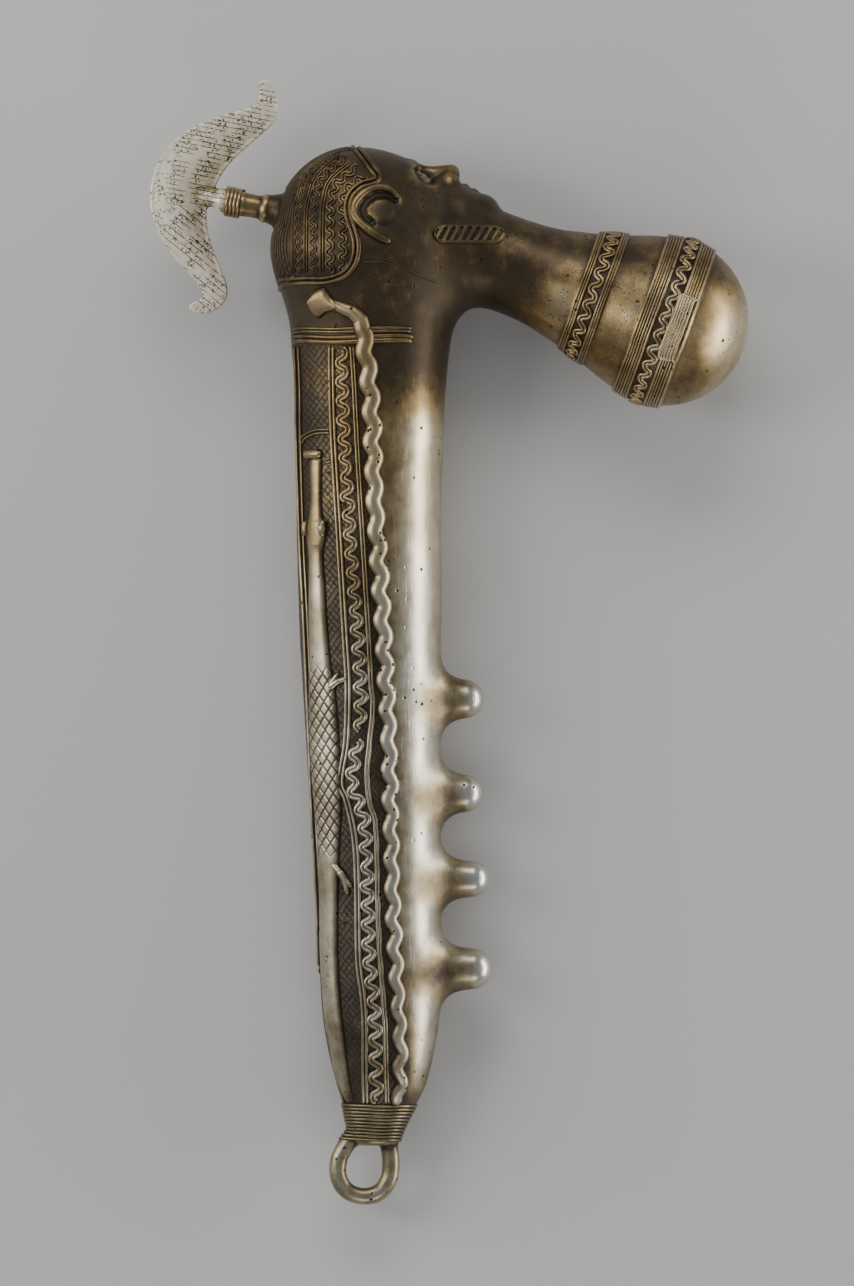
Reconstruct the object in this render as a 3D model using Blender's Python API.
"""A ceremonial mace, cast in one piece in copper alloy, lying on its side.

The mace is drawn in its own plane: X runs from the back of the grip to the tips of its pegs,
Y from the foot of the hanging ring up to the horns of the crescent, and Z from that plane
towards the cheek that shows. Rough rolls are fused into one skin by a voxel remesh, and the
skin's vertices are then drawn onto the finished form, a level function that blends the rolls
into each other and raises the ornament. At the end the casting is laid on the ground, where
small flat spots on the ball, the head and the grip carry it.
"""

import math

import bmesh
import bpy
import numpy as np
from mathutils import Matrix, Vector

for old in list(bpy.data.objects):
    bpy.data.objects.remove(old)

# The grip is an oval column: height up the mace, middle of its width, half of its width.
GRIP = (
    (0.0215, 0.0018, 0.0080),
    (0.0260, 0.0019, 0.0094),
    (0.0305, 0.0022, 0.0112),
    (0.0359, 0.0030, 0.0131),
    (0.0447, 0.0037, 0.0165),
    (0.0589, 0.0037, 0.0197),
    (0.0731, 0.0035, 0.0213),
    (0.1086, 0.0027, 0.0222),
    (0.1441, 0.0014, 0.0234),
    (0.1796, 0.0004, 0.0245),
    (0.2151, -0.0004, 0.0256),
    (0.2506, -0.0007, 0.0259),
    (0.2861, -0.0003, 0.0268),
    (0.3085, 0.0000, 0.0286),
    (0.3250, 0.0005, 0.0303),
    (0.3400, 0.0005, 0.0318),
)
GRIP_DEPTH_RATIO = 0.90
GRIP_END_ROUNDING = 0.0020
GRIP_TOP_ROUNDING = 0.0120

# Four pegs in a row on the front: height up the mace, reach of the tip, radius of the tip.
PEGS = (
    (0.1800, 0.0402, 0.0071),
    (0.1465, 0.0397, 0.0069),
    (0.1161, 0.0421, 0.0066),
    (0.0842, 0.0432, 0.0075),
)
PEG_ROOT = 0.0120
PEG_TAPER = 0.0028
PEG_FILLET = 0.0085

# The hanging ring is a bent wire: the middle of the wire from one end in the foot to the other.
RING_PATH = (
    (-0.0052, 0.0262),
    (-0.0088, 0.0215),
    (-0.0114, 0.0165),
    (-0.0116, 0.0105),
    (-0.0086, 0.0055),
    (-0.0028, 0.0034),
    (0.0030, 0.0050),
    (0.0064, 0.0098),
    (0.0070, 0.0160),
    (0.0064, 0.0212),
    (0.0054, 0.0262),
)
RING_WIRE = 0.0032
RING_FILLET = 0.0012

# The skull is an ellipsoid: middle and half lengths.
SKULL = ((-0.0054, 0.3463, 0.0), (0.0285, 0.0297, 0.0290))

# The face has its own frame: it starts at the hairline and runs down to the chin, and its
# features are set out by the usual thirds: hairline to brow, brow to nose, nose to chin.
# Places are distances down the face from the line named, out of the face, and across it.
HAIRLINE = (0.0014, 0.3756)
CHIN = (0.0430, 0.3545)
FACE_LENGTH = math.dist(HAIRLINE, CHIN)
FACE_MIDDLE = (0.0190, -0.0240, 0.0)
FACE_HALF = (0.0270, 0.0240, 0.0236)
JAW = ((0.0200, -0.0235, 0.0), (0.0400, -0.0175, 0.0), 0.0190, 0.0150)
FACE_FILLET = 0.0090
FEATURE_FILLET = 0.0030
CREASE_FILLET = 0.0008

# From the brow line.
SOCKET = (0.0042, 0.0012, 0.0084)
SOCKET_HALF = (0.0050, 0.0056, 0.0074)
BROW_ARCH = ((-0.0006, 0.0004, 0.0028), (-0.0016, -0.0018, 0.0098), (0.0014, -0.0056, 0.0160))
BROW_RADIUS = 0.0017
EYE = (0.0044, -0.0042, 0.0086)
EYE_HALF = (0.0036, 0.0038, 0.0054)
EYE_CORNERS = ((0.0050, -0.0030, 0.0030), (0.0050, -0.0044, 0.0142))
UPPER_LID = (EYE_CORNERS[0], (0.0022, -0.0008, 0.0072), (0.0022, -0.0014, 0.0106), EYE_CORNERS[1])
LOWER_LID = (EYE_CORNERS[0], (0.0072, -0.0014, 0.0076), (0.0070, -0.0022, 0.0108), EYE_CORNERS[1])
LID_RADIUS = 0.0007
NOSE_ROOT = (0.0010, -0.0016, 0.0)
NOSE_ROOT_RADIUS = 0.0021

# From the line under the nose.
NOSE_TIP = (-0.0030, 0.0044, 0.0)
NOSE_TIP_RADIUS = 0.0031
NOSE_WING = (-0.0022, 0.0010, 0.0038)
NOSE_WING_HALF = (0.0029, 0.0030, 0.0024)
NOSTRIL = (0.0004, 0.0026, 0.0021)
NOSTRIL_HALF = (0.0010, 0.0014, 0.0009)

# From the line between the lips.
MOUTH_BELOW_NOSE = 0.0054
MUZZLE = (0.0000, -0.0046, 0.0)
MUZZLE_HALF = (0.0078, 0.0066, 0.0112)
UPPER_LIP = ((-0.0015, 0.0020, 0.0), (-0.0002, -0.0006, 0.0076), 0.0017, 0.0008)
LOWER_LIP = ((0.0018, 0.0016, 0.0), (0.0002, -0.0006, 0.0070), 0.0019, 0.0008)

# From the chin line.
CHIN_KNOB = (-0.0022, -0.0024, 0.0)
CHIN_KNOB_HALF = (0.0050, 0.0056, 0.0078)

# The beard runs on from the chin as a flaring roll that ends in a ball. Stations of the flare
# are distances from its start along its axis, and the radius there.
CLUB_START = (0.0440, 0.3360)
CLUB_BALL = (0.1040, 0.3142)
CLUB_RADIUS = 0.0303
CLUB_FLARE = (
    (-0.0080, 0.0172),
    (0.0060, 0.0173),
    (0.0170, 0.0180),
    (0.0250, 0.0197),
    (0.0320, 0.0214),
    (0.0400, 0.0238),
    (0.0473, 0.0264),
    (0.0550, 0.0287),
    (0.0638, CLUB_RADIUS),
)
BEARD_FILLET = 0.0080
THROAT_FILLET = 0.0150

# Raised hoops round the club: from and to along its axis.
CLUB_HOOPS = ((0.0315, 0.0346), (0.0390, 0.0415), (0.0550, 0.0608), (0.0665, 0.0730))
HOOP_HEIGHT = 0.0008
HOOP_EDGE = 0.0014

# The crescent stands on a turned stem: radius against distance from the blade to the skull.
STEM_START = (-0.0596, 0.3583)
STEM_END = (-0.0300, 0.3527)
STEM_PROFILE = (
    (0.0000, 0.0022),
    (0.0030, 0.0028),
    (0.0055, 0.0043),
    (0.0072, 0.0046),
    (0.0082, 0.0057),
    (0.0140, 0.0058),
    (0.0152, 0.0045),
    (0.0200, 0.0043),
    (0.0215, 0.0052),
    (0.0240, 0.0055),
    (0.0301, 0.0072),
)
STEM_FILLET = 0.0015

# Outline of the crescent, clockwise from the tip of its upper horn.
CRESCENT = (
    (-0.0400, 0.3990),
    (-0.0370, 0.3998),
    (-0.0341, 0.3962),
    (-0.0331, 0.3915),
    (-0.0334, 0.3870),
    (-0.0352, 0.3836),
    (-0.0405, 0.3788),
    (-0.0490, 0.3710),
    (-0.0537, 0.3645),
    (-0.0572, 0.3565),
    (-0.0581, 0.3490),
    (-0.0560, 0.3405),
    (-0.0528, 0.3325),
    (-0.0507, 0.3252),
    (-0.0523, 0.3203),
    (-0.0563, 0.3173),
    (-0.0606, 0.3167),
    (-0.0638, 0.3177),
    (-0.0647, 0.3197),
    (-0.0631, 0.3211),
    (-0.0605, 0.3221),
    (-0.0602, 0.3250),
    (-0.0634, 0.3293),
    (-0.0720, 0.3390),
    (-0.0768, 0.3480),
    (-0.0788, 0.3570),
    (-0.0773, 0.3668),
    (-0.0728, 0.3755),
    (-0.0662, 0.3815),
    (-0.0555, 0.3867),
    (-0.0442, 0.3899),
    (-0.0405, 0.3920),
    (-0.0398, 0.3950),
)
CRESCENT_HALF_THICKNESS = 0.0026
CRESCENT_EDGE_HALF_THICKNESS = 0.0012
CRESCENT_BEVEL = 0.0090
CRESCENT_FILLET = 0.0018

# Raised lines on the head: the border of the hair, the rim and the middle of the ear, and the
# strip on the cheek, each with half of its width and its height.
CAP_BORDER = (
    (-0.0323, 0.3284),
    (-0.0252, 0.3280),
    (-0.0181, 0.3287),
    (-0.0124, 0.3298),
    (-0.0082, 0.3323),
    (-0.0053, 0.3358),
    (-0.0046, 0.3401),
    (-0.0053, 0.3443),
    (-0.0067, 0.3479),
    (-0.0071, 0.3536),
    (-0.0057, 0.3586),
    (-0.0018, 0.3625),
    (0.0032, 0.3639),
    (0.0036, 0.3664),
    (0.0011, 0.3696),
    (-0.0025, 0.3731),
    (-0.0067, 0.3759),
)
CAP_BORDER_SIZE = (0.0013, 0.0010)
EAR_RIM = (
    (0.0096, 0.3593),
    (0.0039, 0.3614),
    (-0.0021, 0.3596),
    (-0.0060, 0.3557),
    (-0.0067, 0.3511),
    (-0.0046, 0.3461),
    (0.0000, 0.3422),
    (0.0064, 0.3404),
)
EAR_RIM_SIZE = (0.0012, 0.0017)
EAR_DISC = (0.0036, 0.3511)
EAR_DISC_SIZE = (0.0050, 0.0012)
CHEEK_STRIP = (
    (0.0224, 0.3461),
    (0.0451, 0.3433),
)
CHEEK_STRIP_SIZE = (0.0031, 0.0009)

# Lines on the grip: the collar under the head, the two long lines that part the wave bands,
# the border along the back, and the divider above the crocodile.
COLLAR_TOP = (
    (-0.0309, 0.3085),
    (-0.0277, 0.3096),
    (-0.0110, 0.3106),
    (0.0131, 0.3103),
    (0.0149, 0.3092),
    (0.0153, 0.3067),
)
COLLAR_FOOT = (
    (-0.0309, 0.3053),
    (-0.0277, 0.3064),
    (-0.0110, 0.3074),
    COLLAR_TOP[-1],
)
COLLAR_SIZE = (0.0008, 0.0008)
LINE_A = (
    (-0.0138, 0.3057),
    (-0.0131, 0.2719),
    (-0.0110, 0.2364),
    (-0.0089, 0.2009),
    (-0.0076, 0.1654),
    (-0.0085, 0.1441),
    (-0.0053, 0.1086),
    (-0.0025, 0.0731),
    (-0.0021, 0.0518),
    (-0.0025, 0.0366),
)
LINE_B = (
    (-0.0064, 0.3057),
    (-0.0050, 0.2719),
    (-0.0036, 0.2506),
    (-0.0025, 0.2364),
    (-0.0004, 0.2009),
    (0.0011, 0.1796),
    (0.0000, 0.1583),
    (0.0011, 0.1441),
    (0.0025, 0.1086),
    (0.0043, 0.0731),
    (0.0057, 0.0518),
    (0.0060, 0.0366),
)
BACK_BORDER = (
    (-0.0256, 0.3057),
    (-0.0245, 0.2719),
    (-0.0234, 0.2364),
    (-0.0224, 0.2009),
    (-0.0209, 0.1725),
    (-0.0199, 0.1441),
    (-0.0181, 0.1086),
    (-0.0170, 0.0731),
    (-0.0153, 0.0589),
    (-0.0124, 0.0447),
    (-0.0099, 0.0366),
)
DIVIDER = (
    (-0.0245, 0.2709),
    (-0.0217, 0.2741),
    (-0.0138, 0.2748),
)
LINE_SIZE = (0.0012, 0.0009)

# The snake: its head with the jaws open, its neck, and the wavy body down the grip.
SNAKE_JAWS = (
    ((-0.0131, 0.3191), (-0.0167, 0.3206), (-0.0181, 0.3241)),
    ((-0.0131, 0.3191), (-0.0170, 0.3181), (-0.0174, 0.3152)),
    ((-0.0167, 0.3206), (-0.0202, 0.3209), (-0.0170, 0.3181)),
)
SNAKE_NECK = (
    (-0.0160, 0.3195),
    (-0.0128, 0.3191),
    (-0.0092, 0.3177),
    (-0.0057, 0.3163),
    (-0.0032, 0.3135),
    (-0.0028, 0.3096),
)
SNAKE_BODY = (
    (-0.0028, 0.3103),
    (0.0000, 0.2861),
    (0.0014, 0.2506),
    (0.0028, 0.2293),
    (0.0046, 0.2009),
    (0.0064, 0.1654),
    (0.0071, 0.1370),
    (0.0078, 0.1086),
    (0.0096, 0.0731),
    (0.0106, 0.0554),
    (0.0099, 0.0362),
)
SNAKE_JAW_SIZE = (0.0019, 0.0020)
SNAKE_NECK_SIZE = (0.0028, 0.0026)
SNAKE_HALF_WIDTH = (0.0030, 0.0022)
SNAKE_HEIGHT = (0.0026, 0.0020)
SNAKE_WAVE = 0.0110
SNAKE_WAVE_STEPS = 12
SNAKE_SWING = 0.0011

# The crocodile from snout to tail: place on the grip and half of its width.
CROCODILE = (
    (-0.0188, 0.2677, 0.0034),
    (-0.0192, 0.2627, 0.0025),
    (-0.0192, 0.2506, 0.0024),
    (-0.0192, 0.2382, 0.0034),
    (-0.0192, 0.2293, 0.0030),
    (-0.0185, 0.2080, 0.0036),
    (-0.0174, 0.1867, 0.0047),
    (-0.0163, 0.1654, 0.0055),
    (-0.0153, 0.1477, 0.0053),
    (-0.0146, 0.1299, 0.0038),
    (-0.0146, 0.1157, 0.0032),
    (-0.0146, 0.0909, 0.0030),
    (-0.0135, 0.0731, 0.0028),
    (-0.0117, 0.0589, 0.0025),
    (-0.0099, 0.0465, 0.0025),
    (-0.0067, 0.0366, 0.0022),
)
CROCODILE_HEIGHT = 0.0026
CROCODILE_HEIGHT_RATIO = 0.75
LIMB_SIZE = (0.0012, 0.0016)
CROCODILE_LIMBS = (
    ((-0.0160, 0.1796), (-0.0142, 0.1846), (-0.0114, 0.1892)),
    ((-0.0142, 0.1846), (-0.0082, 0.1874)),
    ((-0.0135, 0.1221), (-0.0106, 0.1186), (-0.0067, 0.1136)),
    ((-0.0106, 0.1186), (-0.0078, 0.1111)),
)

# The hidden side is plainer. Its one long line stops short of the foot of the grip.
HIDDEN_LINE_POINTS = 7

# The ornament is drawn on a map over the mace's plane, a little larger than the mace, and it
# fades where the skin turns away from the plane. A raised line's section is a smooth hump.
MAP_STEP = 0.00025
MAP_MARGIN = 0.0020
MAP_LOW = (min(x for x, _ in CRESCENT) - MAP_MARGIN, -MAP_MARGIN)
MAP_HIGH = (CLUB_BALL[0] + CLUB_RADIUS + MAP_MARGIN, max(y for _, y in CRESCENT) + MAP_MARGIN)
ORNAMENT_FADE = 0.0040
HUMP_POWER = 1.2

# The fused skin's grid, how its vertices look for the form, and the lighter mesh made of it.
VOXEL = 0.0007
NEWTON_STEPS = 5
LONGEST_STEP = 0.0012
PROBE = 0.00001
TRIANGLES = 9400
FINE_COST = 0.0002
FACE_FINENESS = 0.7
ORNAMENT_FINENESS = 0.25

# How much of each foot is taken off, so that it stands on a flat spot.
FLAT_DEPTH = 0.0003


def smooth_curve(points, closed=False, per_span=8):
    """Points on a smooth curve through the given ones."""
    points = np.array(points, float)
    count = len(points)
    spans = count if closed else count - 1
    t = np.arange(per_span)[:, None] / per_span
    made = []
    for i in range(spans):
        if closed:
            a, b, c, d = (points[(i + k) % count] for k in (-1, 0, 1, 2))
        else:
            a, b, c, d = (points[min(max(i + k, 0), count - 1)] for k in (-1, 0, 1, 2))
        made.append(
            0.5 * (2 * b + (c - a) * t + (2 * a - 5 * b + 4 * c - d) * t**2 + (3 * b - a - 3 * c + d) * t**3)
        )
    if not closed:
        made.append(points[-1:])
    return np.concatenate(made)


def at(table, column, where):
    """A value read from a station table."""
    return np.interp(where, table[:, 0], table[:, column])


def soft_min(a, b, fillet):
    """Joins two level functions, with a fillet in the corner between them."""
    share = np.clip(0.5 + 0.5 * (b - a) / fillet, 0, 1)
    return b + (a - b) * share - fillet * share * (1 - share)


def soft_max(a, b, fillet):
    return -soft_min(-a, -b, fillet)


def ellipsoid(p, middle, half):
    q = (p - np.array(middle)) / np.array(half)
    reach = np.linalg.norm(q, axis=1) + 1e-9
    slope = np.linalg.norm(q / np.array(half), axis=1) / reach + 1e-9
    return (reach - 1) / slope


def roll(p, a, b, radius_a, radius_b):
    """A tapering roll with round ends."""
    a, b = np.array(a), np.array(b)
    along = b - a
    t = np.clip((p - a) @ along / (along @ along), 0, 1)
    return np.linalg.norm(p - a - t[:, None] * along, axis=1) - radius_a - t * (radius_b - radius_a)


def bent_roll(p, path, radius):
    """A roll of even thickness along a path in the mace's plane."""
    level = np.full(len(p), 1.0)
    for a, b in zip(path[:-1], path[1:]):
        level = np.minimum(level, roll(p, (*a, 0), (*b, 0), radius, radius))
    return level


def turned(p, start, end, table):
    """A body turned about an axis in the mace's plane: (level, distance along the axis)."""
    start, end = np.array((*start, 0.0)), np.array((*end, 0.0))
    axis = (end - start) / np.linalg.norm(end - start)
    along = (p - start) @ axis
    across = np.linalg.norm(p - start - along[:, None] * axis, axis=1)
    inside = np.clip(along, table[0, 0], table[-1, 0])
    beyond = along - inside
    radius = at(table, 1, inside)
    slope = at(table, 2, inside)
    return (np.hypot(across, beyond) - radius) / np.hypot(1, slope), along


def with_slope(stations, step=0.0005):
    """A station table on a fine grid, with the radius and its slope."""
    curve = smooth_curve(stations, per_span=12)
    where = np.arange(curve[0, 0], curve[-1, 0] + step, step)
    values = [np.interp(where, curve[:, 0], curve[:, k]) for k in range(1, curve.shape[1])]
    return np.column_stack([where, *values, np.gradient(values[-1], step)])


GRIP_TABLE = with_slope(GRIP)
FLARE_TABLE = with_slope(CLUB_FLARE)
STEM_TABLE = with_slope(STEM_PROFILE)
RING_LINE = smooth_curve(RING_PATH, per_span=3)
CRESCENT_LINE = smooth_curve(CRESCENT, closed=True, per_span=4)


def plateau(value, low, high, edge):
    """1 between low and high, with smooth edges."""
    rise = np.clip((value - low) / edge + 0.5, 0, 1)
    fall = np.clip((high - value) / edge + 0.5, 0, 1)
    t = np.minimum(rise, fall)
    return t * t * (3 - 2 * t)


def line_distance(x, y, path):
    """Distance in the mace's plane to an open path."""
    found = np.full(len(x), 1.0)
    for (ax, ay), (bx, by) in zip(path[:-1], path[1:]):
        dx, dy = bx - ax, by - ay
        t = np.clip(((x - ax) * dx + (y - ay) * dy) / (dx * dx + dy * dy), 0, 1)
        found = np.minimum(found, np.hypot(x - ax - t * dx, y - ay - t * dy))
    return found


def outline_distance(x, y, loop):
    """Distance to a closed outline, negative inside it."""
    closed = np.vstack([loop, loop[:1]])
    inside = np.zeros(len(x), bool)
    for (ax, ay), (bx, by) in zip(closed[:-1], closed[1:]):
        crosses = (ay > y) != (by > y)
        rise = by - ay if by != ay else 1e-12
        inside ^= crosses & (x < ax + (y - ay) * (bx - ax) / rise)
    return np.where(inside, -1, 1) * line_distance(x, y, closed)


def grip(p):
    y = np.clip(p[:, 1], GRIP_TABLE[0, 0], GRIP_TABLE[-1, 0])
    half = at(GRIP_TABLE, 2, y)
    size = np.column_stack([half, half * GRIP_DEPTH_RATIO])
    q = np.column_stack([p[:, 0] - at(GRIP_TABLE, 1, y), p[:, 2]]) / size
    reach = np.linalg.norm(q, axis=1) + 1e-9
    slope = np.linalg.norm(q / size, axis=1) / reach + 1e-9
    side = (reach - 1) / slope / np.hypot(1, at(GRIP_TABLE, 3, y))
    foot = soft_max(side, GRIP[0][0] - p[:, 1], GRIP_END_ROUNDING)
    return soft_max(foot, p[:, 1] - GRIP[-1][0], GRIP_TOP_ROUNDING)


def pegs(p):
    level = np.full(len(p), 1.0)
    for height, reach, radius in PEGS:
        tip = (reach - radius, height, 0)
        level = np.minimum(level, roll(p, (PEG_ROOT, height, 0), tip, radius + PEG_TAPER, radius))
    return level


def crescent(p):
    level = np.full(len(p), 1.0)
    near = p[:, 0] < STEM_END[0]
    x, y, z = p[near].T
    edge = outline_distance(x, y, CRESCENT_LINE)
    lean = np.clip(-edge / CRESCENT_BEVEL, 0, 1)
    half = CRESCENT_EDGE_HALF_THICKNESS + lean * (CRESCENT_HALF_THICKNESS - CRESCENT_EDGE_HALF_THICKNESS)
    round_edge = CRESCENT_EDGE_HALF_THICKNESS
    a, b = edge + round_edge, np.abs(z) - half + round_edge
    outside = np.hypot(np.maximum(a, 0), np.maximum(b, 0))
    level[near] = np.minimum(np.maximum(a, b), 0) + outside - round_edge
    return level


def draw(maps, path, half_width, height, flat=0.0):
    """Draws a raised line on maps: its size may change along it, and flat is its level share."""
    path = np.array(path, float)
    widths = np.broadcast_to(half_width, len(path))
    heights = np.broadcast_to(height, len(path))
    corner = np.array(MAP_LOW)
    for i in range(len(path) - 1):
        a, b = path[i], path[i + 1]
        room = max(widths[i], widths[i + 1]) + MAP_STEP
        low = np.floor((np.minimum(a, b) - room - corner) / MAP_STEP).astype(int)
        high = np.ceil((np.maximum(a, b) + room - corner) / MAP_STEP).astype(int) + 1
        low, high = np.maximum(low, 0), np.minimum(high, maps[0].shape)
        x = corner[0] + MAP_STEP * np.arange(low[0], high[0])[:, None]
        y = corner[1] + MAP_STEP * np.arange(low[1], high[1])[None]
        way = b - a
        t = np.clip(((x - a[0]) * way[0] + (y - a[1]) * way[1]) / (way @ way + 1e-15), 0, 1)
        far = np.hypot(x - a[0] - t * way[0], y - a[1] - t * way[1])
        half = widths[i] + t * (widths[i + 1] - widths[i])
        out = np.clip((far / half - flat) / (1 - flat), 0, 1)
        rise = (heights[i] + t * (heights[i + 1] - heights[i])) * (1 - out * out) ** HUMP_POWER
        for side in maps:
            window = side[low[0]:high[0], low[1]:high[1]]
            np.maximum(window, rise, out=window)


def snake_body():
    """The snake's wavy back: its path, and the share of its length at each point."""
    spine = smooth_curve(SNAKE_BODY, per_span=60)
    travel = np.concatenate([[0], np.cumsum(np.linalg.norm(np.diff(spine, axis=0), axis=1))])
    where = np.arange(0, travel[-1], SNAKE_WAVE / SNAKE_WAVE_STEPS)
    spine = np.column_stack([np.interp(where, travel, spine[:, k]) for k in (0, 1)])
    way = np.gradient(spine, axis=0)
    across = np.column_stack([-way[:, 1], way[:, 0]]) / np.linalg.norm(way, axis=1)[:, None]
    swing = SNAKE_SWING * np.sin(2 * math.pi * where / SNAKE_WAVE)
    return spine + across * swing[:, None], where / where[-1]


def maps_of_heights():
    """Heights of the ornament over the mace's plane: one map for each side."""
    shape = [int((high - low) / MAP_STEP) + 1 for low, high in zip(MAP_LOW, MAP_HIGH)]
    shown, hidden = np.zeros(shape), np.zeros(shape)
    both = (shown, hidden)
    draw(both, smooth_curve(CAP_BORDER), *CAP_BORDER_SIZE)
    draw(both, smooth_curve(EAR_RIM), *EAR_RIM_SIZE)
    draw(both, (EAR_DISC, EAR_DISC), *EAR_DISC_SIZE, flat=0.3)
    draw(both, CHEEK_STRIP, *CHEEK_STRIP_SIZE, flat=0.75)
    for line in (COLLAR_TOP, COLLAR_FOOT):
        draw(both, line, *COLLAR_SIZE)
    for line in (LINE_A, LINE_B, BACK_BORDER, DIVIDER):
        draw((shown,), smooth_curve(line), *LINE_SIZE)
    for line in (LINE_A[:HIDDEN_LINE_POINTS], BACK_BORDER):
        draw((hidden,), smooth_curve(line), *LINE_SIZE)

    path, share = snake_body()
    draw((shown,), path, np.interp(share, (0, 1), SNAKE_HALF_WIDTH), np.interp(share, (0, 1), SNAKE_HEIGHT))
    draw((shown,), smooth_curve(SNAKE_NECK), *SNAKE_NECK_SIZE)
    for jaw in SNAKE_JAWS:
        draw((shown,), jaw, *SNAKE_JAW_SIZE)

    crocodile = smooth_curve(CROCODILE)
    half_width = crocodile[:, 2]
    height = np.minimum(CROCODILE_HEIGHT, CROCODILE_HEIGHT_RATIO * half_width)
    draw((shown,), crocodile[:, :2], half_width, height, flat=0.2)
    for limb in CROCODILE_LIMBS:
        draw((shown,), limb, *LIMB_SIZE)
    return both


SHOWN, HIDDEN = maps_of_heights()


def height_at(p):
    """The ornament's height over each point."""
    u = np.clip((p[:, 0] - MAP_LOW[0]) / MAP_STEP, 0, SHOWN.shape[0] - 1.001)
    v = np.clip((p[:, 1] - MAP_LOW[1]) / MAP_STEP, 0, SHOWN.shape[1] - 1.001)
    i, j = u.astype(int), v.astype(int)
    u, v = u - i, v - j
    found = []
    for side in (SHOWN, HIDDEN):
        near = side[i, j] * (1 - v) + side[i, j + 1] * v
        far = side[i + 1, j] * (1 - v) + side[i + 1, j + 1] * v
        found.append(near * (1 - u) + far * u)
    return np.where(p[:, 2] > 0, *found) * np.clip(np.abs(p[:, 2]) / ORNAMENT_FADE, 0, 1)


def in_face(p):
    """Points in the face's frame: down the face, out of it, and across to either side."""
    down = np.array((CHIN[0] - HAIRLINE[0], CHIN[1] - HAIRLINE[1])) / FACE_LENGTH
    away = p[:, :2] - np.array(HAIRLINE)
    out = np.array((-down[1], down[0]))
    return np.column_stack([away @ down, away @ out, np.abs(p[:, 2])])


def from_face_centre(p):
    return np.linalg.norm(in_face(p) - np.array((FACE_LENGTH / 2, 0, 0)), axis=1)


def face_mass(p):
    q = in_face(p)
    return soft_min(ellipsoid(q, FACE_MIDDLE, FACE_HALF), roll(q, *JAW), FACE_FILLET)


def bead(q, line, radius):
    """A thin roll through several points of the face's frame."""
    level = roll(q, line[0], line[1], radius, radius)
    for a, b in zip(line[1:-1], line[2:]):
        level = np.minimum(level, roll(q, a, b, radius, radius))
    return level


def with_features(p, level):
    """The bare head with brow, eyes, nose, lips and chin worked onto it."""
    near = from_face_centre(p) < 0.7 * FACE_LENGTH
    q = in_face(p[near])
    face = level[near]
    down = np.array((1.0, 0.0, 0.0))
    from_brow, from_nose = q - down * FACE_LENGTH / 3, q - down * FACE_LENGTH * 2 / 3
    from_mouth = from_nose - down * MOUTH_BELOW_NOSE
    from_chin = q - down * FACE_LENGTH

    face = soft_max(face, -ellipsoid(from_brow, SOCKET, SOCKET_HALF), FEATURE_FILLET)
    face = soft_min(face, bead(from_brow, BROW_ARCH, BROW_RADIUS), FEATURE_FILLET)
    face = soft_min(face, ellipsoid(from_brow, EYE, EYE_HALF), CREASE_FILLET)
    for lid in (UPPER_LID, LOWER_LID):
        face = soft_min(face, bead(from_brow, lid, LID_RADIUS), CREASE_FILLET)

    root = np.array(NOSE_ROOT) - down * FACE_LENGTH / 3
    nose = roll(from_nose, root, NOSE_TIP, NOSE_ROOT_RADIUS, NOSE_TIP_RADIUS)
    nose = soft_min(nose, ellipsoid(from_nose, NOSE_WING, NOSE_WING_HALF), FEATURE_FILLET)
    face = soft_min(face, nose, FEATURE_FILLET)
    face = soft_max(face, -ellipsoid(from_nose, NOSTRIL, NOSTRIL_HALF), CREASE_FILLET)

    face = soft_min(face, ellipsoid(from_mouth, MUZZLE, MUZZLE_HALF), 2 * FEATURE_FILLET)
    lips = np.minimum(roll(from_mouth, *UPPER_LIP), roll(from_mouth, *LOWER_LIP))
    face = soft_min(face, lips, CREASE_FILLET)
    face = soft_min(face, ellipsoid(from_chin, CHIN_KNOB, CHIN_KNOB_HALF), FEATURE_FILLET)
    made = level.copy()
    made[near] = face
    return made


def bare_mace(p):
    """Level function of the casting without its ornament: 0 on its surface, negative inside."""
    level = soft_min(ellipsoid(p, *SKULL), face_mass(p), FACE_FILLET)
    club, along = turned(p, CLUB_START, CLUB_BALL, FLARE_TABLE)
    for low, high in CLUB_HOOPS:
        club = club - HOOP_HEIGHT * plateau(along, low, high, HOOP_EDGE)
    level = soft_min(level, club, BEARD_FILLET)
    level = soft_min(level, grip(p), THROAT_FILLET)
    level = with_features(p, level)
    level = soft_min(level, pegs(p), PEG_FILLET)
    level = soft_min(level, bent_roll(p, RING_LINE, RING_WIRE), RING_FILLET)
    stem, _ = turned(p, STEM_START, STEM_END, STEM_TABLE)
    level = soft_min(level, stem, STEM_FILLET)
    return soft_min(level, crescent(p), CRESCENT_FILLET)


def mace(p):
    """Level function of the whole casting, ornament included."""
    return bare_mace(p) - height_at(p)


def add_loft(bm, rings, sides=24):
    """A closed body through rings, each a middle, the two half axes and their directions."""
    before = None
    for middle, across, deep in rings:
        ring = []
        for k in range(sides):
            turn = 2 * math.pi * k / sides
            ring.append(bm.verts.new(middle + across * math.cos(turn) + deep * math.sin(turn)))
        edges = [bm.edges.new((ring[k], ring[(k + 1) % sides])) for k in range(sides)]
        if before is None:
            bmesh.ops.contextual_create(bm, geom=edges)
        else:
            bmesh.ops.bridge_loops(bm, edges=before + edges)
        before = edges
    bmesh.ops.contextual_create(bm, geom=before)


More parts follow.
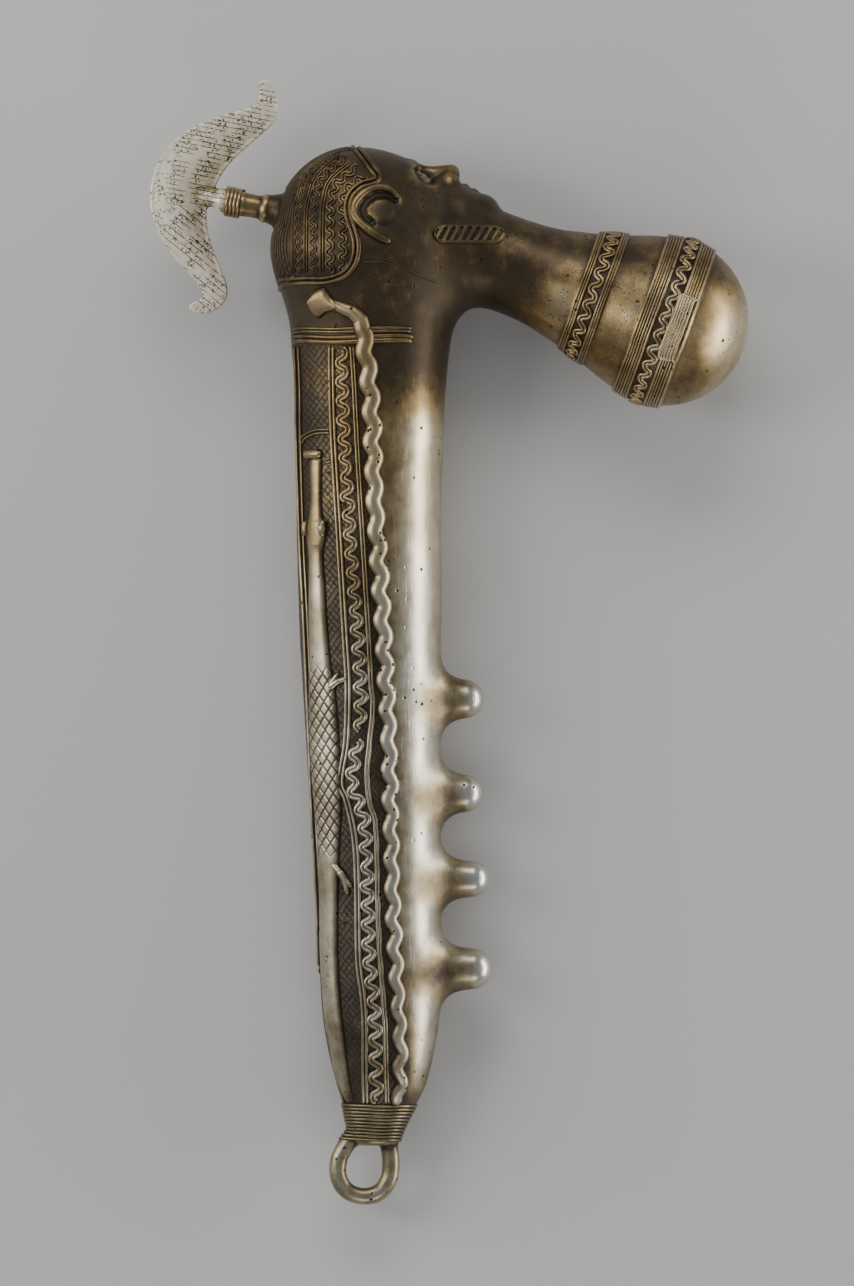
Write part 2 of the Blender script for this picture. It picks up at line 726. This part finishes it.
def rough_turned(bm, start, end, table, step, ball=False):
    start, end = Vector((*start, 0)), Vector((*end, 0))
    axis = (end - start).normalized()
    across = Vector((-axis.y, axis.x, 0))
    rings = []
    for where in np.arange(table[0, 0], table[-1, 0] + step / 2, step):
        radius = at(table, 1, where)
        rings.append((start + axis * where, across * radius, Vector((0, 0, radius))))
    add_loft(bm, rings)
    if ball:
        place = Matrix.Translation(end)
        bmesh.ops.create_icosphere(bm, subdivisions=4, radius=table[-1, 1], matrix=place)


def rough_wax():
    """The rolls, balls and plates that the casting is put together from, still apart."""
    bm = bmesh.new()
    rings = []
    for height in np.arange(GRIP[0][0], GRIP[-1][0], 0.006):
        half = at(GRIP_TABLE, 2, height)
        middle = Vector((at(GRIP_TABLE, 1, height), height, 0))
        rings.append((middle, Vector((half, 0, 0)), Vector((0, 0, -half * GRIP_DEPTH_RATIO))))
    add_loft(bm, rings)
    place = Matrix.LocRotScale(SKULL[0], None, SKULL[1])
    bmesh.ops.create_icosphere(bm, subdivisions=4, radius=1, matrix=place)
    down = (Vector(CHIN) - Vector(HAIRLINE)).normalized()
    out = Vector((-down.y, down.x))
    lumps = [
        (0, FACE_MIDDLE, FACE_HALF[1]),
        (0, JAW[1], JAW[3]),
        (1, CHIN_KNOB, CHIN_KNOB_HALF[0]),
        (2 / 3, (MOUTH_BELOW_NOSE, MUZZLE[1] + 0.0020, 0), MUZZLE_HALF[1]),
        (2 / 3, (NOSE_WING[0], NOSE_WING[1], 0), NOSE_WING[2] + NOSE_WING_HALF[2]),
    ]
    for along in np.linspace(0, 1, 8):
        place = (1 - along) * np.array(NOSE_ROOT) + along * np.array(NOSE_TIP)
        radius = (1 - along) * NOSE_ROOT_RADIUS + along * NOSE_TIP_RADIUS
        lumps.append(((1 + along) / 3, place, radius))
    for share, place, radius in lumps:
        spot = Vector(HAIRLINE) + down * float(share * FACE_LENGTH + place[0]) + out * float(place[1])
        move = Matrix.Translation((*spot, 0))
        bmesh.ops.create_icosphere(bm, subdivisions=3, radius=radius, matrix=move)
    rough_turned(bm, CLUB_START, CLUB_BALL, FLARE_TABLE, 0.004, ball=True)
    rough_turned(bm, STEM_START, STEM_END, STEM_TABLE, 0.002)
    for height, reach, radius in PEGS:
        start, tip = Vector((PEG_ROOT, height, 0)), Vector((reach - radius, height, 0))
        rings = []
        for share in np.linspace(0, 1, 6):
            r = radius + PEG_TAPER * (1 - share)
            rings.append((start.lerp(tip, share), Vector((0, r, 0)), Vector((0, 0, r))))
        add_loft(bm, rings)
        bmesh.ops.create_icosphere(bm, subdivisions=3, radius=radius, matrix=Matrix.Translation(tip))
    rings = []
    for before, point, after in zip(RING_LINE[:-2], RING_LINE[1:-1], RING_LINE[2:]):
        way = Vector((*(after - before), 0)).normalized()
        across = Vector((-way.y, way.x, 0)) * RING_WIRE
        rings.append((Vector((*point, 0)), across, Vector((0, 0, RING_WIRE))))
    add_loft(bm, rings, sides=12)
    plate = bm.faces.new([bm.verts.new((x, y, -CRESCENT_EDGE_HALF_THICKNESS)) for x, y in CRESCENT_LINE])
    raised = bmesh.ops.extrude_face_region(bm, geom=[plate])["geom"]
    up = [v for v in raised if isinstance(v, bmesh.types.BMVert)]
    bmesh.ops.translate(bm, verts=up, vec=(0, 0, 2 * CRESCENT_EDGE_HALF_THICKNESS))
    bmesh.ops.recalc_face_normals(bm, faces=bm.faces)
    return bm


def drawn_onto(points, level):
    """The points moved to where the level function is 0."""
    for _ in range(NEWTON_STEPS):
        here = level(points)
        slope = np.column_stack(
            [(level(points + np.eye(3)[k] * PROBE) - here) / PROBE for k in range(3)]
        )
        size = np.maximum((slope * slope).sum(1), 0.05)
        step = -(here / size)[:, None] * slope
        length = np.linalg.norm(step, axis=1) + 1e-12
        points = points + step * np.minimum(1, LONGEST_STEP / length)[:, None]
    return points


def applied(obj):
    """The object's mesh as its modifiers leave it, in place of the old one."""
    graph = bpy.context.evaluated_depsgraph_get()
    made = bpy.data.meshes.new_from_object(obj.evaluated_get(graph))
    obj.modifiers.clear()
    obj.data = made
    return obj


def casting():
    bm = rough_wax()
    mesh = bpy.data.meshes.new("cast_mace")
    bm.to_mesh(mesh)
    bm.free()
    obj = bpy.data.objects.new("cast_mace", mesh)
    bpy.context.scene.collection.objects.link(obj)
    fuse = obj.modifiers.new("fuse", "REMESH")
    fuse.mode = "VOXEL"
    fuse.voxel_size = VOXEL
    applied(obj)
    redraw(obj, bare_mace)
    redraw(obj, mace)
    keep_fine(obj)
    lighten = obj.modifiers.new("lighten", "DECIMATE")
    lighten.ratio = TRIANGLES / (2 * len(obj.data.polygons))
    lighten.vertex_group = "smooth"
    lighten.vertex_group_factor = FINE_COST
    applied(obj)
    obj.vertex_groups.clear()
    return obj


def keep_fine(obj):
    """Marks the face and the ornament, where the mesh stays finer."""
    points = np.array([v.co for v in obj.data.vertices])
    face = np.clip(1.6 - 3 * from_face_centre(points) / FACE_LENGTH, 0, 1)
    raised = np.clip(height_at(points) / LINE_SIZE[1], 0, 1)
    weight = 1 - np.maximum(FACE_FINENESS * face, ORNAMENT_FINENESS * raised)
    group = obj.vertex_groups.new(name="smooth")
    for index, value in enumerate(np.round(weight * 20) / 20):
        group.add([index], value, "REPLACE")


def redraw(obj, level):
    """Draws the object's vertices onto the form."""
    points = np.empty(len(obj.data.vertices) * 3, np.float32)
    obj.data.vertices.foreach_get("co", points)
    points = drawn_onto(points.reshape(-1, 3).astype(float), level)
    obj.data.vertices.foreach_set("co", points.astype(np.float32).ravel())
    obj.data.update()


def centre_of_mass(bm):
    """Volume centre of a closed mesh."""
    whole, moment = 0.0, Vector()
    for face in bm.faces:
        a, b, c = (v.co for v in face.verts)
        part = a.dot(b.cross(c)) / 6
        whole += part
        moment += part * (a + b + c) / 4
    return moment / whole


def lay_down(obj):
    """Turns the casting onto the facet of its hull that it rests on, and flattens its feet."""
    bm = bmesh.new()
    bm.from_mesh(obj.data)
    bmesh.ops.triangulate(bm, faces=bm.faces)
    heart = centre_of_mass(bm)
    hull = bm.copy()
    kept = bmesh.ops.convex_hull(hull, input=hull.verts, use_existing_faces=False)
    skin = [f for f in kept["geom"] if isinstance(f, bmesh.types.BMFace)]
    foot = None
    for face in skin:
        corners = [v.co.xy for v in face.verts]
        turns = [(b - a).cross(heart.xy - a) for a, b in zip(corners, corners[1:] + corners[:1])]
        a, b, c = (v.co for v in face.verts)
        way = (b - a).cross(c - a).normalized()
        below = a.z < heart.z
        if below and (min(turns) > 0 or max(turns) < 0):
            foot = (way if way.z < 0 else -way, a.copy())
    hull.free()
    down, touch = foot
    turn = down.rotation_difference(Vector((0, 0, -1))).to_matrix().to_4x4()
    bm.transform(turn)
    drop = Vector((0, 0, -(turn @ touch).z - FLAT_DEPTH))
    bmesh.ops.translate(bm, verts=bm.verts, vec=drop)
    cut = bmesh.ops.bisect_plane(
        bm,
        geom=bm.verts[:] + bm.edges[:] + bm.faces[:],
        dist=0.00002,
        plane_co=(0, 0, 0),
        plane_no=(0, 0, -1),
        clear_outer=True,
    )
    rims = [e for e in cut["geom_cut"] if isinstance(e, bmesh.types.BMEdge) and e.is_boundary]
    bmesh.ops.holes_fill(bm, edges=rims, sides=0)
    bmesh.ops.triangulate(bm, faces=[f for f in bm.faces if len(f.verts) > 3])
    bmesh.ops.recalc_face_normals(bm, faces=bm.faces)
    low = Vector([min(v.co[k] for v in bm.verts) for k in range(3)])
    high = Vector([max(v.co[k] for v in bm.verts) for k in range(3)])
    shift = Vector((-(low.x + high.x) / 2, -(low.y + high.y) / 2, 0))
    bmesh.ops.translate(bm, verts=bm.verts, vec=shift)
    bm.to_mesh(obj.data)
    bm.free()
    return Matrix.Translation(drop + shift) @ turn


def brass():
    """Worn cast brass."""
    metal = bpy.data.materials.new("cast_brass")
    metal.use_nodes = True
    surface = metal.node_tree.nodes["Principled BSDF"]
    surface.inputs["Base Color"].default_value = (0.42, 0.36, 0.27, 1)
    surface.inputs["Metallic"].default_value = 1.0
    surface.inputs["Roughness"].default_value = 0.35
    return metal


body = casting()
lay_down(body)
body.data.materials.append(brass())
